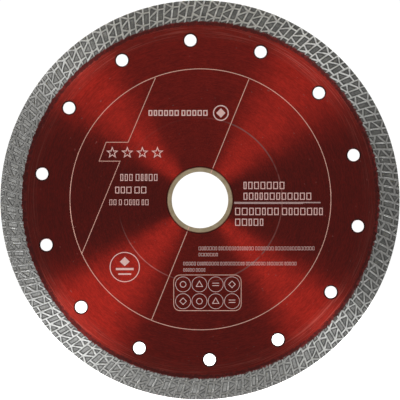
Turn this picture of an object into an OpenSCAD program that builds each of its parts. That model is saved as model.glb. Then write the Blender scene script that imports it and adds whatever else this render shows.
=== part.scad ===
// Diamond blade, 180 mm, continuous mesh turbo rim, 30 mm core bore with a 25.4 mm reducer ring.
// Units are millimetres. The parts are laid out flat, axis along z and the printed face up,
// then the whole blade is stood up: its axis is Y, the printed face looks along -Y and +Z is up.
// The origin is the centre of the bore, half way through the core.

/* [Blade] */
// Outside diameter over the exposed grit
blade_d = 180; // [178:0.5:182]
// Thickness of the steel core
core_t = 1.2; // [1.0:0.1:1.4]
// Thickness of the rim over its ribs
rim_t = 1.6; // [1.5:0.05:2.0]
// Radius where the sintered rim begins
rim_inner_r = 80; // [79:0.5:81]

/* [Bore and reducer ring] */
// Bore of the steel core
core_bore_d = 30; // [29.9:0.05:30.1]
// Bore of the reducer ring, which takes the machine's arbor
arbor_d = 25.4; // [25.3:0.05:25.5]
// Radial clearance between the ring and the core
ring_gap = 0.02; // [0.01:0.005:0.05]
// Thickness of the reducer ring
ring_t = 1.1; // [0.9:0.05:1.2]
// Chamfer on the ring's four edges
ring_chamfer = 0.12; // [0.05:0.01:0.2]

/* [Cooling holes] */
// Number of cooling holes
cool_n = 14; // [10:1:16]
// Diameter of a cooling hole
cool_d = 6; // [5:0.1:7]
// Radius of the circle of cooling holes
cool_r = 72.1; // [70:0.1:73]
// Direction of the first cooling hole, from +X towards +Z
cool_start = 16.3; // [0:0.1:25]
// Bare chamfer round each cooling hole
cool_chamfer = 0.15; // [0.05:0.01:0.25]

/* [Mesh rim] */
// Cells of the mesh round the rim
cell_n = 80; // [72:2:90]
// Width of a rib
rib_w = 0.9; // [0.7:0.05:1.1]
// Lean of the cross ribs from the radius
rib_lean = 14.6; // [8:0.1:20]
// Share of a cell taken by the ladder column
ladder_share = 0.445; // [0.4:0.005:0.5]
// Turn of the whole mesh about the axis
mesh_turn = -0.44; // [-2:0.01:2]
// Height of a key on the edge of the core
key_h = 1.1; // [0.8:0.05:1.3]
// Keys on the edge of the core
key_n = 80; // [40:2:90]

/* [Grit] */
// Exposed diamond crystals on the cutting edge
grit_n = 120; // [60:2:160]
// Edge length of a crystal
grit_size = 0.45; // [0.35:0.01:0.5]
// How far a crystal stands out of the bond
grit_out = 0.1; // [0.05:0.01:0.15]

/* [Lacquer and print] */
// Thickness of the lacquer on each face
lacquer_t = 0.04; // [0.03:0.005:0.06]
// Radius where the lacquer ends
lacquer_r = 79.6; // [78:0.1:80]
// Radius of the flattening ring rolled into the face
roll_r = 37; // [34:0.5:40]
// Thickness of the printed ink, level with the lacquer
ink_t = 0.02; // [0.01:0.005:0.025]
// Width of a printed line
line_w = 0.45; // [0.3:0.05:0.6]
// Radius of the printed circle
print_r = 58.95; // [56:0.05:60]
// Lean of the printed dividing lines from the horizontal
print_lean = 68; // [60:0.5:75]

/* [Hidden] */
$fn = 96;
bond_r = blade_d / 2 - grit_out;
rib_h = (rim_t - core_t) / 2;
bore_r = core_bore_d / 2;
ring_r = bore_r - ring_gap;
arbor_r = arbor_d / 2;
face_z = core_t / 2;
lacquer_z = face_z + lacquer_t;
mid_r = 85;
cell_w = 2 * PI * mid_r / cell_n;
ladder_w = cell_w * ladder_share;
slope = tan(rib_lean);
half = rib_w / 2;
// Radii of the two rungs of the ladder column.
rung_out = 87.64;
rung_in = 82.4;
// Start and end radii of the four zigzag ribs, each on the left and the right rib of its column.
zig = [[90.0, 87.6], [84.95, 87.6], [84.05, 82.35], [80.6, 82.35]];
zag_w = cell_w - ladder_w;
over = 0.7;
print_x = 0.2;
print_y = 0.3;

// ---- placing ----

// Stands the flat layout up: its z becomes -Y and its y becomes +Z.
module upright() {
    rotate([90, 0, 0]) children();
}

// A point of the mesh: u along the arc at mid_r, clockwise from the cell's first rib, r the radius.
function mesh_point(u, r, cell) =
    let (a = mesh_turn - cell * 360 / cell_n - (u + slope * (r - mid_r)) / mid_r * 180 / PI)
    [r * cos(a), r * sin(a)];

// ---- mesh pockets, each a list of [u, r] corners within one cell ----

// Height of zigzag rib i at u, moved by side times half a rib, measured square to the rib.
function zig_slope(i) = (zig[i][1] - zig[i][0]) / zag_w;
function zig_half(i) =
    let (m = zig_slope(i))
    half * norm([1 + slope * m, m]) / abs(slope * m - (1 + slope * m));
function zig_r(i, u, side) = zig[i][0] + zig_slope(i) * (u - ladder_w) + side * zig_half(i);
// Where the upper edge of rib j meets the lower edge of rib i.
function zig_meet(i, j) =
    let (
        ri = zig_r(i, ladder_w, -1),
        rj = zig_r(j, ladder_w, 1),
        du = (rj - ri) / (zig_slope(i) - zig_slope(j))
    )
    [ladder_w + du, ri + zig_slope(i) * du];

ladder_l = half;
ladder_r = ladder_w - half;
zag_l = ladder_w + half;
zag_r = cell_w - half;
rim_over = bond_r + over;
rim_under = rim_inner_r - over;

pockets = [
    [[ladder_l, rung_out + half], [ladder_r, rung_out + half], [ladder_r, rim_over], [ladder_l, rim_over]],
    [[ladder_l, rung_in + half], [ladder_r, rung_in + half], [ladder_r, rung_out - half],
        [ladder_l, rung_out - half]],
    [[ladder_l, rim_under], [ladder_r, rim_under], [ladder_r, rung_in - half], [ladder_l, rung_in - half]],
    [[zag_r - 1.7, rim_over], [zag_r, zig_r(0, zag_r, 1)], [zag_r, rim_over]],
    [[zag_l, zig_r(1, zag_l, 1)], [zag_l, zig_r(0, zag_l, -1)], zig_meet(0, 1)],
    [[zag_l, (zig_r(1, zag_l, -1) + zig_r(2, zag_l, 1)) / 2], [zag_r, zig_r(1, zag_r, -1)],
        [zag_r, zig_r(2, zag_r, 1)]],
    [[zag_l, zig_r(3, zag_l, 1)], [zag_l, zig_r(2, zag_l, -1)], zig_meet(2, 3)],
    [[zag_l, rim_under], [zag_l, zig_r(3, zag_l, -1)], [zag_r, zig_r(3, zag_r, -1)], [zag_r, rim_under]],
];

// Outline of the raised mesh: a band less the eight pockets of every cell.
module mesh_2d() {
    difference() {
        circle(r = bond_r);
        circle(r = rim_inner_r);
        for (cell = [0:cell_n - 1]) {
            for (p = pockets) {
                polygon([for (c = p) mesh_point(c[0], c[1], cell)]);
            }
        }
    }
}

// One dovetail key on the edge of the core.
module key_2d(k) {
    a = (k + 0.5) * 360 / key_n;
    w = PI * rim_inner_r / key_n;
    rotate(a) polygon([
        [rim_inner_r - key_h - 0.5, -w * 0.4],
        [rim_inner_r - 0.1, -w * 0.6],
        [rim_inner_r - 0.1, w * 0.6],
        [rim_inner_r - key_h - 0.5, w * 0.4],
    ]);
}

// Outline of the core with its keyed edge.
module core_2d() {
    circle(r = rim_inner_r - key_h);
    for (k = [0:key_n - 1]) {
        key_2d(k);
    }
}

// ---- steel core ----

// A round hole through the core with a chamfer at both faces.
module chamfered_hole(r, c) {
    rotate_extrude() polygon([
        [0, -face_z - 0.2],
        [r + c + 0.2, -face_z - 0.2],
        [r, -face_z + c],
        [r, face_z - c],
        [r + c + 0.2, face_z + 0.2],
        [0, face_z + 0.2],
    ]);
}

module steel_core() {
    color([0.55, 0.55, 0.56]) upright() difference() {
        translate([0, 0, -face_z]) linear_extrude(core_t) core_2d();
        cylinder(r = bore_r, h = 3 * core_t, center = true);
        for (k = [0:cool_n - 1]) {
            rotate(cool_start + k * 360 / cool_n) translate([cool_r, 0, 0])
                chamfered_hole(cool_d / 2, cool_chamfer);
        }
    }
}

// ---- sintered rim ----

module rim_web() {
    translate([0, 0, -face_z]) linear_extrude(core_t) difference() {
        circle(r = bond_r);
        circle(r = rim_inner_r - key_h);
        for (k = [0:key_n - 1]) {
            key_2d(k);
        }
    }
}

module diamond_rim() {
    color([0.56, 0.57, 0.56]) upright() difference() {
        union() {
            rim_web();
            translate([0, 0, face_z]) linear_extrude(rib_h) mesh_2d();
            translate([0, 0, -face_z - rib_h]) linear_extrude(rib_h) mesh_2d();
        }
        grit_blocks();
    }
}

// ---- exposed grit ----

// Crystals round the edge, each a small block turned a different way and set in its own socket.
module grit_blocks() {
    for (k = [0:grit_n - 1]) {
        rotate((k + 0.3 * sin(k * 97)) * 360 / grit_n)
            translate([(blade_d - grit_size) / 2, 0, 0.32 * core_t * sin(k * 139)])
                rotate([k * 47, 0, 0]) cube(grit_size, center = true);
    }
}

module diamond_grit() {
    color([0.82, 0.78, 0.55]) upright() grit_blocks();
}

// ---- lacquer ----

// The film on one face, with clear rings round the cooling holes and a shallow rolled ring.
module lacquer_film(depth) {
    difference() {
        rotate_extrude() polygon([
            [bore_r + 0.15, face_z],
            [lacquer_r, face_z],
            [lacquer_r - 0.15, lacquer_z],
            [roll_r + 0.5, lacquer_z],
            [roll_r + 0.2, lacquer_z - depth],
            [roll_r - 0.2, lacquer_z - depth],
            [roll_r - 0.5, lacquer_z],
            [bore_r + 0.2, lacquer_z],
        ]);
        for (k = [0:cool_n - 1]) {
            rotate(cool_start + k * 360 / cool_n) translate([cool_r, 0, face_z])
                cylinder(r = cool_d / 2 + cool_chamfer, h = 1, center = true);
        }
    }
}

module front_lacquer() {
    color([0.42, 0.05, 0.04]) upright() difference() {
        lacquer_film(lacquer_t / 4);
        translate([0, 0, lacquer_z - ink_t]) linear_extrude(1) print_2d();
    }
}

module rear_lacquer() {
    color([0.42, 0.05, 0.04]) upright() rotate([180, 0, 0]) mirror([0, 1, 0]) lacquer_film(lacquer_t / 4);
}

// ---- reducer ring ----

module ring_blank() {
    rotate_extrude() polygon([
        [arbor_r, -ring_t / 2 + ring_chamfer],
        [arbor_r + ring_chamfer, -ring_t / 2],
        [ring_r - ring_chamfer, -ring_t / 2],
        [ring_r, -ring_t / 2 + ring_chamfer],
        [ring_r, ring_t / 2 - ring_chamfer],
        [ring_r - ring_chamfer, ring_t / 2],
        [arbor_r + ring_chamfer, ring_t / 2],
        [arbor_r, ring_t / 2 - ring_chamfer],
    ]);
}

module reducer_ring() {
    color([0.56, 0.51, 0.40]) upright() difference() {
        ring_blank();
        translate([0, 0, ring_t / 2 - ink_t]) linear_extrude(1) ring_lines_2d();
    }
}

// ---- print: a circle, dividing lines, stars, a badge, a panel of rings and plain bars ----

// A straight line between two points, with square ends.
module line_2d(p, q, w) {
    d = q - p;
    translate((p + q) / 2) rotate(atan2(d[1], d[0])) square([norm(d), w], center = true);
}

module star_2d(r) {
    polygon([for (i = [0:9]) let (a = 90 + i * 36, s = (i % 2 == 0) ? r : r * 0.4) [s * cos(a), s * sin(a)]]);
}

module star_outline_2d(x, y, r, w) {
    translate([x, y]) difference() {
        star_2d(r);
        star_2d(r - 2.6 * w);
    }
}

module ring_2d(x, y, r, w) {
    translate([x, y]) difference() {
        circle(r = r);
        circle(r = r - w);
    }
}

// A plain bar standing for a line of words, from its left end and middle height.
module bar_2d(x, y, w, h) {
    translate([x, y - h / 2]) square([w, h]);
}

// The two slanted lines that run out from the bore, cut to a band of radii.
module slanted_2d(r_from, r_to) {
    for (a = [print_lean, print_lean + 180]) {
        rotate(a) translate([r_from, -line_w / 2]) square([r_to - r_from, line_w]);
    }
}

module ring_lines_2d() {
    slanted_2d(arbor_r + 0.3, ring_r - 0.3);
}

step_x = [-20.1, -32.4, -42.3, -45.4, -36.0, -53.1];
step_y = [55.0, 26.0, 26.0, 17.5, 17.5, -23.9];

module stepped_2d() {
    for (i = [0:4]) {
        line_2d([step_x[i], step_y[i]], [step_x[i + 1], step_y[i + 1]], line_w);
    }
}

// Word bars, each [left, middle height, width, height].
bars = [
    [-23.2, 39.2, 26.6, 2.4],
    [-35.9, 10.1, 16.7, 1.6],
    [-38.2, 4.5, 14.0, 1.6],
    [-40.8, -1.0, 17.6, 1.4],
    [19.6, 6.6, 19.8, 1.6],
    [19.6, 1.7, 30.5, 1.6],
    [15.8, -5.2, 38.5, 1.6],
    [15.8, -10.0, 12.7, 1.6],
    [-0.6, -21.8, 51.0, 0.8],
    [-0.6, -24.5, 8.6, 0.8],
    [-7.5, -28.7, 50.5, 0.8],
    [-7.5, -31.4, 9.8, 0.8],
];

panel_x = 3.4;
panel_y = -41.8;
panel_w = 30.7;
panel_h = 16.4;

module panel_2d() {
    translate([panel_x, panel_y]) difference() {
        square([panel_w, panel_h], center = true);
        square([panel_w - 2 * line_w, panel_h - 2 * line_w], center = true);
    }
    for (i = [0:3]) {
        for (j = [0:1]) {
            ring_2d(panel_x + (i - 1.5) * 7.4, panel_y + (j - 0.5) * 7.6, 3.5, line_w * 0.8);
        }
    }
}

badge_x = -33.9;
badge_y = -30.2;

// A plain ring with a lozenge above two bars.
module badge_2d() {
    ring_2d(badge_x, badge_y, 6.6, line_w);
    translate([badge_x, badge_y + 2.6]) rotate(45) square(2.2, center = true);
    bar_2d(badge_x - 4.0, badge_y - 0.9, 8.0, 0.9);
    bar_2d(badge_x - 2.9, badge_y - 3.1, 5.8, 0.7);
}

module print_2d() {
    difference() {
        translate([print_x, print_y]) circle(r = print_r + line_w / 2);
        translate([print_x, print_y]) circle(r = print_r - line_w / 2);
    }
    slanted_2d(bore_r + 0.4, print_r - line_w);
    stepped_2d();
    bar_2d(bore_r + 0.4, -1.3, print_r - bore_r - 5, 0.8);
    for (i = [0:3]) {
        star_outline_2d(-39.5 + i * 6.77, 21.5, 2.75, line_w);
    }
    badge_2d();
    for (b = bars) {
        bar_2d(b[0], b[1], b[2], b[3]);
    }
    panel_2d();
}

module front_print() {
    color([0.78, 0.62, 0.56]) upright()
        translate([0, 0, lacquer_z - ink_t]) linear_extrude(ink_t) print_2d();
}

module ring_print() {
    color([0.78, 0.62, 0.56]) upright()
        translate([0, 0, ring_t / 2 - ink_t]) linear_extrude(ink_t) ring_lines_2d();
}

// ---- the blade ----

steel_core();
diamond_rim();
diamond_grit();
front_lacquer();
rear_lacquer();
reducer_ring();
front_print();
ring_print();
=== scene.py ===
import math
import random

import bpy
import bmesh
import numpy as np
from mathutils import Matrix, Vector


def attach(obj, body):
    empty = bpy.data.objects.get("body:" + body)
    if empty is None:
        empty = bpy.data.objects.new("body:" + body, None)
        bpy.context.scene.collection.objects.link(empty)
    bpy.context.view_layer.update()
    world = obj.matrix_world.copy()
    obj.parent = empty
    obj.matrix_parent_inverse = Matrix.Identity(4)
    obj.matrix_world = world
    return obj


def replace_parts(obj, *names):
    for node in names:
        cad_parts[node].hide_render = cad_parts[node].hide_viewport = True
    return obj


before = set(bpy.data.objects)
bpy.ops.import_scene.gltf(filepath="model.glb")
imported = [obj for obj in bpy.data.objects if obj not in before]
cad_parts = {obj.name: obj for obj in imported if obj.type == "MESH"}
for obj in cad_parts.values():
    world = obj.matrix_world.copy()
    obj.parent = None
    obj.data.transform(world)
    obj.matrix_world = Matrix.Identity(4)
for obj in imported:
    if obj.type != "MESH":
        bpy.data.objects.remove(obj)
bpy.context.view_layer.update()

# The blade is laid out flat in millimetres, as in part.scad: x right, y up, z towards the viewer of
# the printed face. upright() stands it in the row frame, in metres: z becomes -Y and y becomes +Z.
MM = 0.001

# ---- sizes, in millimetres, the same as the CAD part's unless noted ----
BLADE_R = 90.0
BOND_R = 89.9           # the bond's own edge; the crystals on it reach BLADE_R
FACE_Z = 0.6            # half the core's thickness
RIM_Z = 0.8             # half the rim's thickness
RIB_TOP_Z = 0.78        # the ribs' tops; the crystals on them reach RIM_Z
LACQUER_Z = 0.64
RIM_INNER_R = 80.0
BORE_R = 15.0
BORE_FILM_R = 14.975    # the film's wall in the bore, just inside the core's flats, which reach 14.978
RING_OUTER_R = 14.97    # 0.01 under the CAD part's, clear of that film
ARBOR_R = 12.7
RING_HALF_T = 0.55
ROLL_R = 37.0
COOL_N, COOL_R, COOL_HOLE_R, COOL_START = 14, 72.1, 3.0, 16.3

# ---- mesh of the rim: every cell is a ladder with two rungs, then a zigzag of slanting ribs ----
CELLS = 80
MID_R = 85.0
CELL_W = 2 * math.pi * MID_R / CELLS
LADDER_W = CELL_W * 0.445
SLOPE = math.tan(math.radians(14.6))
MESH_TURN = -0.44
HALF_RIB = 0.46
RUNG_RADII = (87.64, 82.4)
ZIGZAG = ((90.0, 87.6), (84.95, 87.6), (84.05, 82.35), (80.6, 82.35))


def metres(*sizes):
    return tuple(size * MM for size in sizes)


def upright(points):
    """Flat millimetre points as row frame metres."""
    p = np.asarray(points, float).reshape(-1, 3)
    return np.stack([p[:, 0], -p[:, 2], p[:, 1]], axis=1) * MM


def put(name, data):
    """A new object in the scene that shows the given data."""
    obj = bpy.data.objects.new(name, data)
    bpy.context.scene.collection.objects.link(obj)
    return obj


def faceted_mesh(name, points, faces):
    """A flat-shaded mesh object from flat millimetre points."""
    mesh = bpy.data.meshes.new(name)
    mesh.from_pydata(upright(points).tolist(), [], faces)
    mesh.update()
    return put(name, mesh)


def smooth_mesh(name, points, quads):
    """A smooth-shaded mesh object from arrays of flat millimetre points and four-sided faces."""
    mesh = bpy.data.meshes.new(name)
    mesh.vertices.add(len(points))
    mesh.vertices.foreach_set("co", upright(points).astype(np.float32).ravel())
    mesh.loops.add(quads.size)
    mesh.loops.foreach_set("vertex_index", quads.astype(np.int32).ravel())
    mesh.polygons.add(len(quads))
    mesh.polygons.foreach_set("loop_start", np.arange(len(quads), dtype=np.int32) * quads.shape[1])
    mesh.update(calc_edges=True)
    mesh.validate()
    mesh.shade_smooth()
    return put(name, mesh)


def stand_up(mesh, z_scale=1, z_lift=0):
    """Scales and lifts a mesh's flat millimetre points, then stands them in the row frame."""
    co = np.zeros(len(mesh.vertices) * 3)
    mesh.vertices.foreach_get("co", co)
    flat = co.reshape(-1, 3)
    flat[:, 2] = flat[:, 2] * z_scale + z_lift
    mesh.vertices.foreach_set("co", upright(flat).ravel())


def smoothstep(x, low, high):
    t = np.clip((x - low) / (high - low), 0, 1)
    return t * t * (3 - 2 * t)


def soft_noise(rng, rows, cols, feature):
    """Smooth noise on a grid that wraps round in its columns, about 0 with a spread of 1."""
    grid = rng.standard_normal((rows, cols))
    fr = np.fft.fftfreq(rows)[:, None]
    fc = np.fft.fftfreq(cols)[None, :]
    filt = np.exp(-((fr * feature[0]) ** 2 + (fc * feature[1]) ** 2) * 6)
    out = np.real(np.fft.ifft2(np.fft.fft2(grid) * filt))
    return out / out.std()


# ======================================================================================
# Materials
# ======================================================================================

class Nodes:
    """Short helpers for building a material's node tree. Lengths in materials are in metres."""

    def __init__(self, name):
        self.mat = bpy.data.materials.new(name)
        self.mat.use_nodes = True
        self.tree = self.mat.node_tree
        self.tree.nodes.clear()
        self.out = self.add("ShaderNodeOutputMaterial")
        self.shader = self.add("ShaderNodeBsdfPrincipled")
        self.link(self.shader.outputs["BSDF"], self.out.inputs["Surface"])

    def add(self, kind, **settings):
        node = self.tree.nodes.new(kind)
        for key, value in settings.items():
            setattr(node, key, value)
        return node

    def link(self, source, target):
        """Links a socket, or sets a number or a colour."""
        if isinstance(source, (int, float)):
            target.default_value = source
        elif isinstance(source, tuple):
            size = len(target.default_value)
            target.default_value = source if len(source) == size else (*source, 1.0)
        else:
            self.tree.links.new(source, target)

    def set(self, **values):
        """Sets sockets of the main shader, given as base_color=..., roughness=... and so on."""
        for key, value in values.items():
            socket = key.replace("_", " ").title().replace("Ior", "IOR")
            self.link(value, self.shader.inputs[socket])

    def math(self, operation, a, b=0.0):
        node = self.add("ShaderNodeMath", operation=operation)
        self.link(a, node.inputs[0])
        self.link(b, node.inputs[1])
        return node.outputs[0]

    def plus(self, a, b):
        return self.math("ADD", a, b)

    def minus(self, a, b):
        return self.math("SUBTRACT", a, b)

    def times(self, a, b):
        return self.math("MULTIPLY", a, b)

    def shares(self, a, share_a, b, share_b):
        """The sum of two numbers, each times its share."""
        return self.plus(self.times(a, share_a), self.times(b, share_b))

    def ramp(self, value, low, high, out_low=0.0, out_high=1.0):
        node = self.add("ShaderNodeMapRange", interpolation_type="SMOOTHSTEP")
        self.link(value, node.inputs["Value"])
        limits = {"From Min": low, "From Max": high, "To Min": out_low, "To Max": out_high}
        for key, number in limits.items():
            self.link(number, node.inputs[key])
        return node.outputs["Result"]

    def mix(self, factor, a, b, blend="MIX"):
        node = self.add("ShaderNodeMix", data_type="RGBA", blend_type=blend)
        self.link(factor, node.inputs[0])
        self.link(a, node.inputs[6])
        self.link(b, node.inputs[7])
        return node.outputs[2]

    def grey(self, value):
        node = self.add("ShaderNodeCombineColor")
        for socket in node.inputs:
            self.link(value, socket)
        return node.outputs[0]

    def noise(self, vector, scale, detail=3.0, roughness=0.55):
        node = self.add("ShaderNodeTexNoise")
        self.link(vector, node.inputs["Vector"])
        self.link(float(scale), node.inputs["Scale"])
        self.link(float(detail), node.inputs["Detail"])
        self.link(float(roughness), node.inputs["Roughness"])
        return node.outputs["Fac"]

    def bump(self, height, distance, strength):
        node = self.add("ShaderNodeBump")
        self.link(height, node.inputs["Height"])
        self.link(distance, node.inputs["Distance"])
        self.link(strength, node.inputs["Strength"])
        return node.outputs["Normal"]

    def position(self):
        """Position on the object: (vector, x, y, z)."""
        coords = self.add("ShaderNodeTexCoord")
        split = self.add("ShaderNodeSeparateXYZ")
        self.link(coords.outputs["Object"], split.inputs[0])
        return coords.outputs["Object"], split.outputs[0], split.outputs[1], split.outputs[2]

    def polar(self):
        """Radius from the blade's axis, and the unit direction (cx, cz) from it."""
        _, x, _, z = self.position()
        radius = self.math("SQRT", self.plus(self.times(x, x), self.times(z, z)))
        return radius, self.math("DIVIDE", x, radius), self.math("DIVIDE", z, radius)

    def streaks(self, radius, cx, cz, across, along, detail=2.0):
        """Noise drawn out along circles round the axis.

        across and along are its cells per metre of radius and per radian.
        """
        join = self.add("ShaderNodeCombineXYZ")
        self.link(self.times(radius, across), join.inputs[0])
        self.link(self.times(cx, along), join.inputs[1])
        self.link(self.times(cz, along), join.inputs[2])
        return self.noise(join.outputs[0], 1.0, detail, 0.6)

    def ragged_radius(self, radius, cx, place, scale, raggedness, lean):
        """The radius with ragged noise in it, and less by lean on the right than in the middle."""
        shake = self.minus(self.noise(place, scale, 3.0, 0.7), 0.5)
        return self.minus(self.plus(radius, self.times(shake, raggedness)), self.times(cx, lean))

    def to_lower_left(self, cx, cz):
        """1 in the direction of the lower left, -1 opposite to it."""
        return self.times(self.plus(cx, cz), -0.7071)

    def attribute(self, name):
        """A number kept at each point of the mesh."""
        return self.add("ShaderNodeAttribute", attribute_name=name).outputs["Fac"]

    def circular_brushing(self, amount):
        """Turns the shader's highlight across circles round the blade's axis."""
        tangent = self.add("ShaderNodeTangent", direction_type="RADIAL", axis="Y")
        self.link(tangent.outputs[0], self.shader.inputs["Tangent"])
        self.set(anisotropic=amount, anisotropic_rotation=0.25)


def lacquer_material():
    """Translucent red lacquer over steel that was ground in circles."""
    n = Nodes("red_lacquer")
    place = n.position()[0]
    radius, cx, cz = n.polar()
    ticks = n.streaks(radius, cx, cz, 2600.0, 42.0)
    lines = n.streaks(radius, cx, cz, 1500.0, 9.0)
    broad = n.streaks(radius, cx, cz, 300.0, 7.0, 3.0)
    grind = n.shares(ticks, 0.6, lines, 0.4)
    red = n.mix(n.ramp(grind, 0.36, 0.64), (0.33, 0.0150, 0.0085), (0.53, 0.0225, 0.0125))
    cloud = n.ramp(n.noise(place, 160.0, 4.0, 0.6), 0.35, 0.7, 0.88, 1.0)

    # long light scratches in the last few millimetres before the rim, where the lacquer is thin
    thin = n.ramp(radius, *metres(71.5, 76.0))
    scratch = n.ramp(n.streaks(radius, cx, cz, 1500.0, 2.2, 4.0), 0.56, 0.66)
    fine_scratch = n.ramp(n.streaks(radius, cx, cz, 3200.0, 3.0, 2.0), 0.56, 0.66)
    scratched = n.math("MAXIMUM", scratch, fine_scratch)
    worn = n.times(thin, n.plus(n.times(scratched, 0.52), 0.08))
    red = n.mix(worn, red, (0.72, 0.15, 0.115))

    # dark ragged band before the rim: partly painted shade at the foot of the rim's step, partly lacquer
    # burnt as the rim was pressed on
    edge_radius = n.ragged_radius(radius, cx, place, 1000.0, *metres(2.2, 0.38))
    burn_and_shade = n.ramp(edge_radius, *metres(78.4, 78.95))
    patch = n.ramp(n.noise(place, 800.0, 2.0), 0.49, 0.66)
    char_and_shade = n.mix(patch, (0.125, 0.009, 0.007), (0.235, 0.015, 0.012))

    # rolled ring: dull and grey on the right half, with a painted highlight on the lower left, where the
    # lower left light would catch it
    roll_off = n.math("ABSOLUTE", n.minus(radius, ROLL_R * MM))
    dull_part = n.ramp(cx, -0.1, 0.45, 0.12, 0.75)
    broken = n.ramp(n.streaks(radius, cx, cz, 60.0, 5.0), 0.25, 0.5)
    roll = n.times(n.ramp(roll_off, *metres(0.12, 0.46), 1.0, 0.0), n.times(dull_part, broken))
    roll_highlight_side = n.ramp(n.to_lower_left(cx, cz), 0.82, 0.95, 0.0, 0.32)
    painted_roll_highlight = n.times(n.ramp(roll_off, *metres(0.10, 0.32), 1.0, 0.0), roll_highlight_side)

    # a few specks and nicks
    nick = n.ramp(n.streaks(radius, cx, cz, 1300.0, 36.0, 0.0), 0.830, 0.850)
    marked = n.math("MAXIMUM", roll, n.times(nick, 0.6))

    face = n.mix(marked, n.mix(1.0, red, n.grey(cloud), "MULTIPLY"), (0.19, 0.082, 0.072))
    # pale colour of the painted highlight on the rolled ring
    face = n.mix(painted_roll_highlight, face, (0.95, 0.42, 0.38))
    # less metal in the band of burn and painted shade before the rim
    metal_off_burn_and_shade = n.ramp(burn_and_shade, 0.0, 1.0, 1.0, 0.74)
    unmarked_metal = n.ramp(marked, 0.0, 1.0, 1.0, 0.15)
    n.set(
        # the lip mark paints shade on the film's lips and walls in the bore and cooling holes
        base_color=n.mix(n.attribute("lip"), n.mix(burn_and_shade, face, char_and_shade), (0.085, 0.008, 0.006)),
        metallic=n.times(metal_off_burn_and_shade, unmarked_metal),
        roughness=n.ramp(broad, 0.3, 0.7, 0.31, 0.36),
        coat_weight=0.95,
        coat_roughness=0.22,
        coat_ior=1.5,
        normal=n.bump(grind, 0.000002, 0.25),
    )
    n.circular_brushing(1.0)
    return n.mat


def rim_material():
    """Sintered metal bond: ground bright on the ribs, grainy in the pockets, with painted shade at the
    ribs' feet.
    """
    n = Nodes("sintered_bond")
    place = n.position()[0]
    radius, cx, cz = n.polar()
    ground = n.attribute("ground")
    grain = n.noise(place, 2600.0, 4.0, 0.7)
    blotch = n.noise(place, 420.0, 3.0, 0.6)
    lines = n.streaks(radius, cx, cz, 2400.0, 30.0)
    brushed = n.ramp(n.shares(grain, 0.5, lines, 0.5), 0.36, 0.64)
    top = n.mix(brushed, (0.60, 0.605, 0.59), (0.96, 0.965, 0.95))

    # painted light: the pockets are paler towards the lower left, where the lower left light falls
    mottle = n.ramp(n.shares(grain, 0.6, blotch, 0.4), 0.38, 0.62)
    uneven = n.times(n.minus(blotch, 0.5), 0.3)
    lower_left_light = n.ramp(n.plus(n.to_lower_left(cx, cz), uneven), -0.42, 0.08)
    floor_out_of_painted_light = n.mix(mottle, (0.100, 0.102, 0.099), (0.22, 0.223, 0.216))
    floor_in_painted_light = n.mix(mottle, (0.248, 0.250, 0.245), (0.51, 0.514, 0.505))
    # painted shade darkens the pockets at the ribs' feet
    floor = n.mix(n.attribute("painted_shade"), n.mix(lower_left_light, floor_out_of_painted_light, floor_in_painted_light), (0.040, 0.040, 0.038))

    # lacquer sprayed over the first half millimetre of the rim
    spray_radius = n.ragged_radius(radius, cx, place, 900.0, *metres(2.6, 0.40))
    spray = n.ramp(spray_radius, *metres(80.25, 80.85), 1.0, 0.0)
    patch = n.ramp(n.noise(place, 800.0, 2.0), 0.45, 0.66)
    stain = n.mix(patch, (0.085, 0.010, 0.007), (0.21, 0.020, 0.020))
    n.set(
        base_color=n.mix(spray, n.mix(ground, floor, top), stain),
        metallic=n.ramp(ground, 0.0, 1.0, 0.15, 0.85),
        roughness=n.ramp(ground, 0.0, 1.0, 0.7, 0.36),
        normal=n.bump(grain, 0.00003, 0.35),
    )
    n.circular_brushing(1.0)
    return n.mat


def grit_material():
    n = Nodes("diamond_grit")
    place = n.position()[0]
    shade = n.ramp(n.noise(place, 700.0, 1.0), 0.3, 0.7)
    n.set(
        base_color=n.mix(shade, (0.30, 0.27, 0.12), (0.62, 0.60, 0.42)),
        roughness=n.ramp(n.noise(place, 3000.0), 0.2, 0.8, 0.12, 0.3),
        ior=2.0,
    )
    return n.mat


def steel_material():
    """Bare ground steel, seen at the holes and in the bore."""
    n = Nodes("core_steel")
    place = n.position()[0]
    radius, cx, cz = n.polar()
    lines = n.streaks(radius, cx, cz, 3000.0, 10.0)
    stain = n.ramp(n.noise(place, 350.0, 3.0), 0.35, 0.7)
    n.set(
        base_color=n.mix(stain, (0.09, 0.060, 0.052), (0.20, 0.150, 0.135)),
        metallic=0.9,
        roughness=n.ramp(lines, 0.3, 0.7, 0.42, 0.58),
        normal=n.bump(lines, 0.000004, 0.3),
    )
    n.circular_brushing(0.5)
    return n.mat


def ring_material():
    """Khaki passivated ring with turning marks; lacquer has crept into the seam round it."""
    n = Nodes("ring_metal")
    place = n.position()[0]
    radius, cx, cz = n.polar()
    lines = n.streaks(radius, cx, cz, 5200.0, 3.0)
    stain = n.ramp(n.noise(place, 260.0, 3.0), 0.3, 0.7)
    khaki = n.mix(stain, (0.365, 0.290, 0.180), (0.49, 0.40, 0.262))
    seam = n.ramp(radius, *metres(14.35, 14.80))
    n.set(
        base_color=n.mix(seam, khaki, (0.21, 0.046, 0.020)),
        metallic=n.ramp(seam, 0.0, 1.0, 0.25, 0.6),
        roughness=n.ramp(lines, 0.3, 0.7, 0.46, 0.62),
        normal=n.bump(lines, 0.000006, 0.4),
    )
    return n.mat


def ink_material(name, dark, light, shine):
    """Thin pale ink, uneven where it was screened on; the brushed metal shines through it."""
    n = Nodes(name)
    patch = n.noise(n.position()[0], 1400.0, 3.0, 0.6)
    n.set(
        base_color=n.mix(n.ramp(patch, 0.3, 0.7), dark, light),
        roughness=n.ramp(patch, 0.2, 0.8, 0.33, 0.40),
        metallic=shine,
        normal=n.bump(patch, 0.000004, 0.4),
    )
    n.circular_brushing(0.95)
    return n.mat


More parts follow.
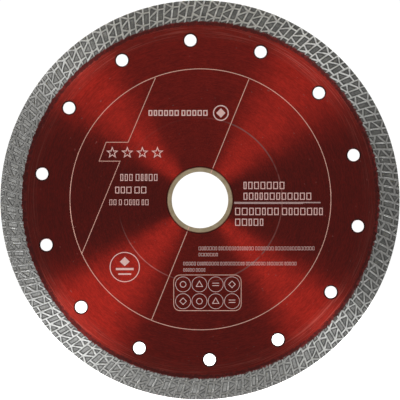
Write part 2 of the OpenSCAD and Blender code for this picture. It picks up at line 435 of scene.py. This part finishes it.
LACQUER = lacquer_material()
BOND = rim_material()
GRIT = grit_material()
STEEL = steel_material()
RING = ring_material()
INK = ink_material("ink", (0.90, 0.48, 0.39), (1.0, 0.58, 0.48), 0.35)
INK_PALE = ink_material("ink_pale", (0.96, 0.58, 0.54), (1.0, 0.70, 0.66), 0.2)
INK_DULL = ink_material("ink_dull", (0.46, 0.315, 0.305), (0.57, 0.40, 0.39), 0.1)


def wear(obj, material, body):
    obj.data.materials.clear()
    obj.data.materials.append(material)
    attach(obj, body)
    return obj


# ======================================================================================
# Sintered rim
# ======================================================================================

# Points of the rim's skin: columns in each cell, rows on each face and rows on the cutting edge.
RIM_COLUMNS, RIM_ROWS, EDGE_ROWS = 28, 48, 5

# Across a rib, by signed distance from its edge (negative on the rib).
RIB_FLANK = (-0.10, 0.13)       # its side falls between these
RIB_GROUND = (-0.24, -0.03)     # its bright ground top fades between these
# painted shade at the ribs' feet rises and falls across these
SHADE_IN, SHADE_OUT = (-0.18, 0.0), (0.18, 0.46)

# Along the radius: the mesh fades in out of the lacquer's edge, and has its full depth past the keys.
MESH_FOOT = (80.1, 80.45)
PAST_KEYS = (81.15, 81.6)
POCKET_DROP, POCKET_CROWN = 0.08, 0.035
EDGE_ROUNDING = 0.35


def rib_distance(u, r):
    """Signed distance from the edge of the nearest rib; negative on a rib. u runs within one cell."""
    cross = np.minimum(np.abs(u), np.minimum(np.abs(u - LADDER_W), np.abs(u - CELL_W)))
    rungs = np.minimum(np.abs(r - RUNG_RADII[0]), np.abs(r - RUNG_RADII[1]))
    in_ladder = (u <= LADDER_W)
    best = np.where(in_ladder, np.minimum(cross, rungs), cross)
    for left, right in ZIGZAG:
        m = (right - left) / (CELL_W - LADDER_W)
        d = np.abs(r - (left + m * (u - LADDER_W))) / math.hypot(1 + SLOPE * m, m)
        best = np.where(in_ladder, best, np.minimum(best, d))
    return best - HALF_RIB


def rim_face(rng, distance, radii):
    """Height, brightness of the ground tops, and painted shade at the ribs' feet, on one side of the rim.
    """
    rows, cols = distance.shape
    r = radii[:, None]
    edge = distance + soft_noise(rng, rows, cols, (5, 5)) * 0.045
    top = 1 - smoothstep(edge, *RIB_FLANK)
    foot = smoothstep(r + soft_noise(rng, rows, cols, (4, 6)) * 0.16, *MESH_FOOT)
    past_keys = smoothstep(r, *PAST_KEYS)
    rough = soft_noise(rng, rows, cols, (1.6, 1.6))
    lumps = soft_noise(rng, rows, cols, (6, 6))
    low = FACE_Z + 0.008 - POCKET_DROP * past_keys
    low = low + (0.004 + 0.010 * past_keys) * (rough + lumps) * foot
    low = low + POCKET_CROWN * past_keys * smoothstep(edge, 0.3, 0.9)
    high = RIB_TOP_Z - 0.012 + 0.006 * rough + 0.006 * lumps
    z = low + (high - low) * top * foot
    rounding = smoothstep(r, BOND_R - EDGE_ROUNDING, BOND_R) ** 2
    bright = 1 - smoothstep(edge, *RIB_GROUND)
    painted_shade = smoothstep(edge, *SHADE_IN) * (1 - smoothstep(edge, *SHADE_OUT))
    return np.minimum(z - 0.05 * rounding * top, RIM_Z), bright * foot, painted_shade * foot * 0.9


def make_rim():
    """One closed skin round the rim: front mesh, cutting edge, rear mesh and the hidden inner wall."""
    rng = np.random.default_rng(7)
    cols = CELLS * RIM_COLUMNS
    radii = np.linspace(RIM_INNER_R - 0.7, BOND_R, RIM_ROWS)
    u = (np.arange(RIM_COLUMNS) / RIM_COLUMNS * CELL_W)[None, :].repeat(RIM_ROWS, 0)
    one_cell = rib_distance(u, radii[:, None].repeat(RIM_COLUMNS, 1))
    distance = np.tile(one_cell, (1, CELLS))
    angle_mid = math.radians(MESH_TURN) - np.arange(cols) * CELL_W / RIM_COLUMNS / MID_R
    front, rear = rim_face(rng, distance, radii), rim_face(rng, distance, radii)
    points, ground, painted_shade = [], [], []

    def ring_of(r, z, bright, dark):
        a = angle_mid - SLOPE * (np.minimum(r, BLADE_R) - MID_R) / MID_R
        points.append(np.stack([r * np.cos(a), r * np.sin(a), z], axis=1))
        ground.append(np.broadcast_to(bright, cols))
        painted_shade.append(np.broadcast_to(dark, cols))

    for i in range(RIM_ROWS):
        ring_of(np.full(cols, radii[i]), front[0][i], front[1][i], front[2][i])
    for k in range(1, EDGE_ROWS + 1):
        t = k / (EDGE_ROWS + 1)
        bulge = soft_noise(rng, 1, cols, (1, 2))[0] * 0.02 - 0.02
        z = front[0][-1] * (1 - t) - rear[0][-1] * t
        # the cutting edge: ground brightness 0.35 and painted shade 0.1
        ring_of(BOND_R + bulge + 0.03 * math.sin(math.pi * t), z, 0.35, 0.1)
    for i in reversed(range(RIM_ROWS)):
        ring_of(np.full(cols, radii[i]), -rear[0][i], rear[1][i], rear[2][i])
    first = np.arange(len(points) * cols).reshape(len(points), cols)
    right = np.roll(first, -1, axis=1)
    below, below_right = np.roll(first, -1, axis=0), np.roll(right, -1, axis=0)
    quads = np.stack([first, below, below_right, right], axis=2).reshape(-1, 4)
    obj = smooth_mesh("diamond_rim_mesh", np.concatenate(points), quads)
    for name, values in (("ground", ground), ("painted_shade", painted_shade)):
        layer = obj.data.attributes.new(name, "FLOAT", "POINT")
        layer.data.foreach_set("value", np.concatenate(values).astype(np.float32))
    wear(obj, BOND, "blade")
    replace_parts(obj, "diamond_rim")


# ======================================================================================
# Diamond grit
# ======================================================================================

EDGE_CRYSTALS, FACE_CRYSTALS = 900, 1500


def crystal_shape():
    """Corners and faces of a cuboctahedron of unit half width."""
    bm = bmesh.new()
    for a, b in ((0, 1), (0, 2), (1, 2)):
        for s in (-1, 1):
            for t in (-1, 1):
                p = [0.0, 0.0, 0.0]
                p[a], p[b] = s, t
                bm.verts.new(p)
    bmesh.ops.convex_hull(bm, input=bm.verts)
    bm.verts.index_update()
    points = np.array([v.co[:] for v in bm.verts])
    faces = [[v.index for v in f.verts] for f in bm.faces]
    bm.free()
    return points, faces


def make_grit():
    rng = random.Random(11)
    shape, faces = crystal_shape()
    points, polys = [], []

    def add(x, y, z, size):
        """A crystal turned at random, pressed in where it would stand out past the CAD part's box."""
        turn = Vector((rng.random() - 0.5, rng.random() - 0.5, rng.random() - 0.5)).normalized()
        spin = rng.random() * math.tau
        q = turn.to_track_quat("Z", "Y").to_matrix() @ Matrix.Rotation(spin, 3, "Z")
        p = shape @ np.array(q).T * size / 2 / 1.2
        p = p + np.array([x, y, z])
        scale = np.minimum(1, BLADE_R / np.hypot(p[:, 0], p[:, 1]))
        p[:, 0] *= scale
        p[:, 1] *= scale
        p[:, 2] = np.clip(p[:, 2], -RIM_Z, RIM_Z)
        base = len(points) * len(shape)
        points.append(p)
        polys.extend([[base + i for i in f] for f in faces])

    for _ in range(EDGE_CRYSTALS):
        a = rng.random() * math.tau
        size = rng.uniform(0.22, 0.42)
        r = BOND_R - size * rng.uniform(0.1, 0.35)
        add(r * math.cos(a), r * math.sin(a), rng.uniform(-0.62, 0.62), size)
    for _ in range(FACE_CRYSTALS):
        a = rng.random() * math.tau
        r = math.sqrt(rng.uniform(80.6 ** 2, 89.6 ** 2))
        side = rng.choice((-1, 1))
        size = rng.uniform(0.16, 0.3)
        add(r * math.cos(a), r * math.sin(a), side * (FACE_Z - size * 0.12), size)
    obj = faceted_mesh("diamond_grit_crystals", np.concatenate(points), polys)
    wear(obj, GRIT, "blade")
    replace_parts(obj, "diamond_grit")


# ======================================================================================
# Lacquer films
# ======================================================================================

FILM_SEGMENTS, HOLE_SEGMENTS = 1440, 64

# Loops of the film as (radius, height, 1 where it is dark at a lip: painted shade with some lacquer
# build-up).
# From the bore outwards it comes up the bore's wall, rolls over the edge and dips at the rolled ring; then
# it thins out over the rim.
FILM_INNER = (
    (BORE_FILM_R, 0.25, 1), (BORE_FILM_R, FACE_Z, 1), (BORE_R + 0.08, LACQUER_Z - 0.02, 1),
    (BORE_R + 0.3, LACQUER_Z, 0), (ROLL_R - 0.6, LACQUER_Z, 0), (ROLL_R - 0.3, LACQUER_Z - 0.012, 0),
    (ROLL_R + 0.3, LACQUER_Z - 0.012, 0), (ROLL_R + 0.6, LACQUER_Z, 0), (66.0, LACQUER_Z, 0),
)
FILM_OUTER = ((78.4, LACQUER_Z, 0), (79.0, LACQUER_Z - 0.004, 0), (79.5, FACE_Z + 0.026, 0))

# Its ragged end: (mean radius, raggedness, height).
FILM_END = ((80.16, 0.17, FACE_Z + 0.020), (80.24, 0.18, FACE_Z - 0.004))

# It rolls over the edge of a cooling hole and lines its wall: (beyond the hole's radius, height).
HOLE_LINING = (
    (0.46, LACQUER_Z), (0.30, LACQUER_Z - 0.010), (0.0, FACE_Z + 0.01),
    (-0.27, FACE_Z - 0.12), (-0.27, 0.0),
)


def circle_points(x, y, r, count):
    angles = [k * math.tau / count for k in range(count)]
    return [(x + r * math.cos(a), y + r * math.sin(a)) for a in angles]


def make_lacquer(name, node, side, seed):
    """The film on one face. side is 1 for the front and -1 for the rear."""
    rng = np.random.default_rng(seed)
    bm = bmesh.new()
    lip = bm.verts.layers.float.new("lip")
    angles = np.arange(FILM_SEGMENTS) * math.tau / FILM_SEGMENTS

    def loop(radii, z, dark=0):
        r = np.broadcast_to(radii, FILM_SEGMENTS)
        verts = [bm.verts.new((r[k] * math.cos(a), r[k] * math.sin(a), z))
                 for k, a in enumerate(angles)]
        for vert in verts:
            vert[lip] = dark
        return verts

    def bridge(loops):
        for a, b in zip(loops, loops[1:]):
            for k in range(len(a)):
                m = (k + 1) % len(a)
                bm.faces.new((a[k], a[m], b[m], b[k]))

    fine = soft_noise(rng, 1, FILM_SEGMENTS, (1, 2))[0]
    coarse = soft_noise(rng, 1, FILM_SEGMENTS, (1, 9))[0]
    ragged = 0.6 * fine + 0.6 * coarse
    inner = [loop(*ring) for ring in FILM_INNER]
    bridge(inner)
    outer = [loop(*ring) for ring in FILM_OUTER]
    outer += [loop(mean + spread * ragged, z) for mean, spread, z in FILM_END]
    bridge(outer)
    edges = []
    for ring in (inner[-1], outer[0]):
        edges += [bm.edges.get((ring[k], ring[(k + 1) % FILM_SEGMENTS])) for k in range(FILM_SEGMENTS)]
    holes = []
    for k in range(COOL_N):
        a = math.radians(COOL_START + k * 360 / COOL_N)
        x, y = COOL_R * math.cos(a), COOL_R * math.sin(a)
        rolled = []
        for wider, z in HOLE_LINING:
            circle = circle_points(x, y, COOL_HOLE_R + wider, HOLE_SEGMENTS)
            rolled.append([bm.verts.new((px, py, z)) for px, py in circle])
        # painted shade, with some lacquer build-up: the film's roll over the hole's edge and its lining of
        # the wall are dark
        for ring in rolled[1:]:
            for vert in ring:
                vert[lip] = 1
        holes.append(rolled)
        rim = rolled[0]
        edges += [bm.edges.new((rim[i], rim[(i + 1) % HOLE_SEGMENTS])) for i in range(HOLE_SEGMENTS)]
    bmesh.ops.triangle_fill(bm, use_beauty=True, use_dissolve=False, edges=edges, normal=(0, 0, 1))
    for rolled in holes:
        bridge(rolled)
    bmesh.ops.recalc_face_normals(bm, faces=bm.faces)
    mesh = bpy.data.meshes.new(name)
    bm.to_mesh(mesh)
    bm.free()
    stand_up(mesh, z_scale=side)
    if side < 0:
        mesh.flip_normals()
    mesh.update()
    obj = put(name, mesh)
    wear(obj, LACQUER, "blade")
    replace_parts(obj, node)


# ======================================================================================
# Reducer ring
# ======================================================================================

RING_SEGMENTS = 256
RING_CORNER = 0.12      # rounding of its inner corners
RING_SLANT = 0.36       # width and depth of the slant round its outer edge


def make_ring():
    """Turned ring, revolved from half of its section, which is the same on both faces."""
    c, slant = RING_CORNER, RING_SLANT
    half = [
        (ARBOR_R, RING_HALF_T - c),
        (ARBOR_R + c * 0.3, RING_HALF_T - c * 0.3),
        (ARBOR_R + c, RING_HALF_T),
        (ARBOR_R + 0.5, RING_HALF_T),
        (RING_OUTER_R - slant - 0.1, RING_HALF_T),
        (RING_OUTER_R - slant, RING_HALF_T - 0.01),
        (RING_OUTER_R - slant * 0.3, RING_HALF_T - slant * 0.35),
        (RING_OUTER_R, RING_HALF_T - slant),
    ]
    other_half = [(r, -z) for r, z in reversed(half)]
    section = half + [(RING_OUTER_R, 0.0)] + other_half + [(ARBOR_R, 0.0)]
    a = np.arange(RING_SEGMENTS) * math.tau / RING_SEGMENTS
    points = np.concatenate([np.stack([r * np.cos(a), r * np.sin(a), np.full(RING_SEGMENTS, z)], axis=1)
                             for r, z in section])
    first = np.arange(len(points)).reshape(len(section), RING_SEGMENTS)
    right = np.roll(first, -1, axis=1)
    above, above_right = np.roll(first, -1, axis=0), np.roll(right, -1, axis=0)
    quads = np.stack([first, right, above_right, above], axis=2).reshape(-1, 4)
    obj = smooth_mesh("reducer_ring_turned", points, quads)
    wear(obj, RING, "ring")
    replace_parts(obj, "reducer_ring")


# ======================================================================================
# Print
# ======================================================================================

INK_LOW, INK_HIGH = LACQUER_Z - 0.02, LACQUER_Z + 0.012
RING_INK_LOW, RING_INK_HIGH = RING_HALF_T - 0.02, RING_HALF_T + 0.01

LINE = 0.33                                     # width of the long lines
PRINT_X, PRINT_Y, PRINT_R = 0.2, 0.3, 58.77     # the large circle, a little off the axis
LEAN = math.radians(68)                         # lean of the two long slants
SLANT_SHIFT_UP, SLANT_SHIFT_DOWN = (0.1, 0.1), (0.1, 0.25)  # brings their ends to that circle
STEPS = ((-20.1, 55.0), (-32.4, 26.0), (-42.3, 26.0), (-45.4, 17.5), (-36.0, 17.5), (-53.1, -23.9))
RULE = ((BORE_R + 0.4, -1.75, 46.5, -0.85), (46.5, -1.45, 54.3, -0.85))
STAR_N, STAR_X, STAR_Y, STAR_STEP, STAR_R, STAR_HOLLOW_R = 4, -39.5, 21.3, 6.77, 2.85, 1.75

# Lines of placeholder boxes: (boxes in each word, x0, x1, y0, y1, stroke).
WORDS = (
    ((3, 5), -35.9, -19.2, 8.6, 11.7, 0.34),
    ((3, 2), -38.2, -24.2, 3.0, 6.0, 0.36),
    ((2, 1, 4, 2), -40.8, -23.2, -2.3, 0.25, 0.26),
    ((7,), 19.6, 38.0, 4.9, 8.2, 0.40),
    ((12,), 19.6, 50.1, 0.1, 3.3, 0.40),
    ((7, 7), 15.8, 55.3, -6.8, -3.5, 0.40),
    ((5,), 15.8, 28.5, -11.6, -8.4, 0.40),
)
SMALL_WORDS = (
    ((7, 14, 7, 14), -0.6, 51.5, -22.6, -21.0, 0.15),
    ((7,), -0.6, 8.0, -25.3, -23.9, 0.15),
    ((5, 9, 10, 8, 7, 5), -7.5, 43.4, -29.4, -27.9, 0.15),
    ((5, 4), -7.5, 2.3, -32.2, -30.8, 0.15),
)
TITLE = ((6, 5), -23.2, 3.4, 37.9, 40.5, 0.50)

# Boxes: gap and word space by the line's height, relative widths, and the width that leaves a hole.
BOX_GAP, BOX_SPACE = 0.22, 0.45
BOX_WIDTHS = (0.65, 0.8, 0.9, 1.0)
HOLLOW_FROM_STROKES = 2.6

PANEL, PANEL_CORNER = (-12.0, -50.0, 18.7, -33.6), 3.0
SIGN_COLUMNS, SIGN_ROWS, SIGN_X, SIGN_Y, SIGN_STEP_X, SIGN_STEP_Y = 4, 2, 3.4, -41.8, 7.35, 7.6
SIGN_R, SIGN_LINE = 3.4, 0.21
BADGE_X, BADGE_Y, BADGE_R, BADGE_LINE = -33.9, -30.2, 6.6, 0.4
MARK_X, MARK_Y, MARK_R, MARK_LINE, MARK_DIAMOND = 9.4, 39.2, 3.3, 0.5, 2.1


def plate(name, loops, material, body, low=INK_LOW, high=INK_HIGH):
    """A thin plate from closed outlines; an outline inside another cuts it out."""
    curve = bpy.data.curves.new(name, "CURVE")
    curve.dimensions = "2D"
    curve.fill_mode = "BOTH"
    curve.extrude = (high - low) / 2
    for loop in loops:
        spline = curve.splines.new("POLY")
        spline.points.add(len(loop) - 1)
        for point, (x, y) in zip(spline.points, loop):
            point.co = (x, y, 0, 1)
        spline.use_cyclic_u = True
    outline = put(name + "_outline", curve)
    bpy.context.view_layer.update()
    evaluated = outline.evaluated_get(bpy.context.evaluated_depsgraph_get())
    mesh = bpy.data.meshes.new_from_object(evaluated)
    bpy.data.objects.remove(outline)
    bpy.data.curves.remove(curve)
    mesh.name = name
    bm = bmesh.new()
    bm.from_mesh(mesh)
    bmesh.ops.remove_doubles(bm, verts=bm.verts, dist=1e-5)
    bmesh.ops.recalc_face_normals(bm, faces=bm.faces)
    bm.to_mesh(mesh)
    bm.free()
    stand_up(mesh, z_lift=(low + high) / 2)
    mesh.update()
    return wear(put(name, mesh), material, body)


def box_loop(x0, y0, x1, y1):
    return [(x0, y0), (x1, y0), (x1, y1), (x0, y1)]


def diamond_loop(x, y, r):
    return [(x - r, y), (x, y - r), (x + r, y), (x, y + r)]


def ring_loops(x, y, r, width, count=96):
    return [circle_points(x, y, r + width / 2, count), circle_points(x, y, r - width / 2, count)]


def line_loop(p, q, width):
    p, q = Vector(p), Vector(q)
    d = (q - p).normalized() * width / 2
    s = Vector((-d.y, d.x))
    return [tuple(p - s), tuple(q - s), tuple(q + s), tuple(p + s)]


def path_loop(points, width):
    """Outline of a bent line with mitred corners."""
    pts = [Vector(p) for p in points]
    left, right = [], []
    for i, p in enumerate(pts):
        before = (p - pts[i - 1]).normalized() if i else (pts[1] - p).normalized()
        after = (pts[i + 1] - p).normalized() if i < len(pts) - 1 else before
        normal = Vector((-(before + after).y, (before + after).x)).normalized()
        reach = width / 2 / max(0.3, normal.dot(Vector((-after.y, after.x))))
        left.append(tuple(p + normal * reach))
        right.append(tuple(p - normal * reach))
    return left + right[::-1]


def star_loop(x, y, r):
    loop = []
    for i in range(10):
        reach, a = (r if i % 2 == 0 else r * 0.42), math.pi / 2 + i * math.pi / 5
        loop.append((x + reach * math.cos(a), y + reach * math.sin(a)))
    return loop


def rounded_loop(x0, y0, x1, y1, r):
    loop = []
    corners = ((x1 - r, y0 + r, -90), (x1 - r, y1 - r, 0), (x0 + r, y1 - r, 90), (x0 + r, y0 + r, 180))
    for cx, cy, start in corners:
        for k in range(7):
            a = math.radians(start + k * 15)
            loop.append((cx + r * math.cos(a), cy + r * math.sin(a)))
    return loop


def slant_loop(side, start, end, shift=(0.0, 0.0)):
    """A stretch of one long slant: side is 1 above the bore and -1 below it, shift moves its end."""
    c, s = side * math.cos(LEAN), side * math.sin(LEAN)
    return line_loop((start * c, start * s), (end * c + shift[0], end * s + shift[1]), LINE)


def box_line(rng, words, x0, x1, y0, y1, stroke):
    """A line of placeholder boxes in place of lettering: words is the number of boxes in each word."""
    gap, space = (y1 - y0) * BOX_GAP, (y1 - y0) * BOX_SPACE
    widths = [[rng.choice(BOX_WIDTHS) for _ in range(n)] for n in words]
    free = (x1 - x0) - gap * sum(n - 1 for n in words) - space * (len(words) - 1)
    scale = free / sum(sum(w) for w in widths)
    loops, x = [], x0
    for word in widths:
        for w in word:
            a, b = x, x + w * scale
            loops.append(box_loop(a, y0, b, y1))
            if b - a > HOLLOW_FROM_STROKES * stroke:
                loops.append(box_loop(a + stroke, y0 + stroke, b - stroke, y1 - stroke))
            x = b + gap
        x += space - gap
    return loops


def sign_glyph(kind, x, y):
    """A neutral outline inside a sign's ring: circle, triangle, two bars or diamond."""
    if kind == 0:
        return ring_loops(x, y, 1.3, 0.3, 24)
    if kind == 1:
        return [[(x - 1.7, y - 1.1), (x + 1.7, y - 1.1), (x, y + 1.8)],
                [(x - 1.15, y - 0.8), (x + 1.15, y - 0.8), (x, y + 1.2)]]
    if kind == 2:
        return [box_loop(x - 1.5, y + 0.4, x + 1.5, y + 0.7), box_loop(x - 1.5, y - 0.7, x + 1.5, y - 0.4)]
    return [diamond_loop(x, y, 1.7), diamond_loop(x, y, 1.3)]


def make_print():
    rng = random.Random(3)
    plate("print_circle", ring_loops(PRINT_X, PRINT_Y, PRINT_R, LINE, 360), INK, "blade")
    inner, edge = BORE_R + 0.3, PRINT_R - LINE / 2
    slants = [slant_loop(1, inner, edge, SLANT_SHIFT_UP), slant_loop(-1, inner, edge, SLANT_SHIFT_DOWN)]
    plate("print_slants", slants, INK, "blade")
    plate("print_steps", [path_loop(STEPS, LINE)], INK, "blade")
    crossing = [slant_loop(side, ARBOR_R + 0.2, RING_OUTER_R - 0.2) for side in (1, -1)]
    on_ring = plate("print_on_ring", crossing, INK, "ring", RING_INK_LOW, RING_INK_HIGH)
    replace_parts(on_ring, "ring_print")
    plate("print_rule", [box_loop(*box) for box in RULE], INK_DULL, "blade")

    stars = []
    for i in range(STAR_N):
        stars += [star_loop(STAR_X + i * STAR_STEP, STAR_Y, r) for r in (STAR_R, STAR_HOLLOW_R)]
    plate("print_stars", stars, INK_PALE, "blade")
    for name, lines in (("print_words", WORDS), ("print_small_words", SMALL_WORDS)):
        plate(name, [loop for line in lines for loop in box_line(rng, *line)], INK_PALE, "blade")

    x0, y0, x1, y1 = PANEL
    inside = rounded_loop(x0 + LINE, y0 + LINE, x1 - LINE, y1 - LINE, PANEL_CORNER - LINE)
    plate("print_panel", [rounded_loop(*PANEL, PANEL_CORNER), inside], INK, "blade")
    signs = []
    for i in range(SIGN_COLUMNS):
        for j in range(SIGN_ROWS):
            x = SIGN_X + (i - (SIGN_COLUMNS - 1) / 2) * SIGN_STEP_X
            y = SIGN_Y + ((SIGN_ROWS - 1) / 2 - j) * SIGN_STEP_Y
            signs += ring_loops(x, y, SIGN_R, SIGN_LINE, 48) + sign_glyph((i + 3 * j) % 4, x, y)
    plate("print_signs", signs, INK_PALE, "blade")

    x, y = BADGE_X, BADGE_Y
    badge = ring_loops(x, y, BADGE_R, BADGE_LINE, 72) + [
        [(x - 2.2, y + 2.4), (x, y + 0.4), (x + 2.2, y + 2.4), (x, y + 4.6)],
        box_loop(x - 4.0, y - 1.4, x + 4.0, y - 0.4),
        box_loop(x - 2.9, y - 3.5, x + 2.9, y - 2.8)]
    plate("print_badge", badge, INK_PALE, "blade")
    plate("print_title", box_line(rng, *TITLE), INK_PALE, "blade")
    mark = ring_loops(MARK_X, MARK_Y, MARK_R, MARK_LINE, 48)
    mark.append(diamond_loop(MARK_X, MARK_Y, MARK_DIAMOND))
    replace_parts(plate("print_mark", mark, INK_PALE, "blade"), "front_print")


# ======================================================================================
# Stage
# ======================================================================================

CAMERA_DISTANCE = 1.2
SENSOR_W = 36
FRAME_HALF = 0.0900856        # half the picture's width at the blade, in metres
FLOOR_R, FLOOR_Z = 1.6, -0.0902
WORLD_SEEN, WORLD_LIT = 1.05, 0.155     # strength of the world as the camera sees it, and as light

# Soft lights: (name, direction round the axis and tilt from straight ahead of the printed face in
# degrees, distance, width and height in metres, power in watts, colour).
WHITE, WARM = (1, 1, 1), (1.0, 0.92, 0.78)
LIGHTS = (
    ("key_lower_left", 224.5, 65, 0.31, 0.15, 0.15, 0.48, WHITE),
    ("key_upper_left", 135, 55, 0.60, 0.19, 0.19, 0.49, WHITE),
    ("key_upper_right", 50, 55, 0.60, 0.23, 0.23, 0.55, WHITE),
    ("key_lower_right", 314.5, 55, 0.60, 0.19, 0.19, 0.76, WHITE),
    ("top_warm", 96, 61, 0.25, 0.36, 0.06, 0.145, WARM),
    ("back_left", 140, 135, 1.0, 0.6, 0.6, 14, WHITE),
    ("back_right", 40, 135, 1.0, 0.6, 0.6, 14, WHITE),
)


def make_floor():
    """A plain pale floor. Two of the lights are below it, so it casts no shadow."""
    mesh = bpy.data.meshes.new("floor")
    bm = bmesh.new()
    bmesh.ops.create_circle(bm, cap_ends=True, segments=128, radius=FLOOR_R)
    bm.to_mesh(mesh)
    bm.free()
    floor = put("floor", mesh)
    floor.location = (0, 0, FLOOR_Z)
    n = Nodes("pale_floor")
    shade = n.noise(n.position()[0], 3.0)
    n.set(base_color=n.mix(shade, (0.86, 0.86, 0.86), (0.9, 0.9, 0.9)), roughness=0.85,
          emission_color=(1.0, 1.0, 1.0), emission_strength=0.9)
    mesh.materials.append(n.mat)
    floor.visible_diffuse = False
    floor.visible_glossy = False
    floor.visible_shadow = False


def make_lights():
    for name, direction, tilt, distance, width, height, power, colour in LIGHTS:
        data = bpy.data.lights.new(name, "AREA")
        data.shape = "RECTANGLE"
        data.size, data.size_y = width, height
        data.energy = power
        data.color = colour
        light = put(name, data)
        a, t = math.radians(direction), math.radians(tilt)
        way = Vector((math.sin(t) * math.cos(a), -math.cos(t), math.sin(t) * math.sin(a)))
        light.location = way * distance
        light.rotation_euler = (-light.location).to_track_quat("-Z", "Y").to_euler()


def make_world():
    """White to the camera, and a dim warm light to everything else."""
    world = bpy.data.worlds.new("studio")
    bpy.context.scene.world = world
    world.use_nodes = True
    tree = world.node_tree
    tree.nodes.clear()
    out = tree.nodes.new("ShaderNodeOutputWorld")
    mix = tree.nodes.new("ShaderNodeMixShader")
    path = tree.nodes.new("ShaderNodeLightPath")
    seen, lit = tree.nodes.new("ShaderNodeBackground"), tree.nodes.new("ShaderNodeBackground")
    seen.inputs["Color"].default_value = (1, 1, 1, 1)
    seen.inputs["Strength"].default_value = WORLD_SEEN
    lit.inputs["Color"].default_value = (1, 0.97, 0.94, 1)
    lit.inputs["Strength"].default_value = WORLD_LIT
    tree.links.new(path.outputs["Is Camera Ray"], mix.inputs[0])
    tree.links.new(lit.outputs[0], mix.inputs[1])
    tree.links.new(seen.outputs[0], mix.inputs[2])
    tree.links.new(mix.outputs[0], out.inputs["Surface"])


def make_camera():
    """Straight ahead of the printed face, with the blade just inside the picture."""
    data = bpy.data.cameras.new("camera")
    data.sensor_width = SENSOR_W
    data.lens = SENSOR_W / 2 * CAMERA_DISTANCE / FRAME_HALF
    camera = put("camera", data)
    camera.location = (0, -CAMERA_DISTANCE - FACE_Z * MM, 0)
    camera.rotation_euler = (math.pi / 2, 0, 0)
    bpy.context.scene.camera = camera


make_rim()
make_grit()
make_lacquer("lacquer_front", "front_lacquer", 1, 21)
make_lacquer("lacquer_rear", "rear_lacquer", -1, 22)
make_ring()
make_print()
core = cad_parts["steel_core"]
core.data.materials.clear()
core.data.materials.append(STEEL)
make_floor()
make_lights()
make_world()
make_camera()
bpy.context.scene.view_settings.view_transform = "Standard"
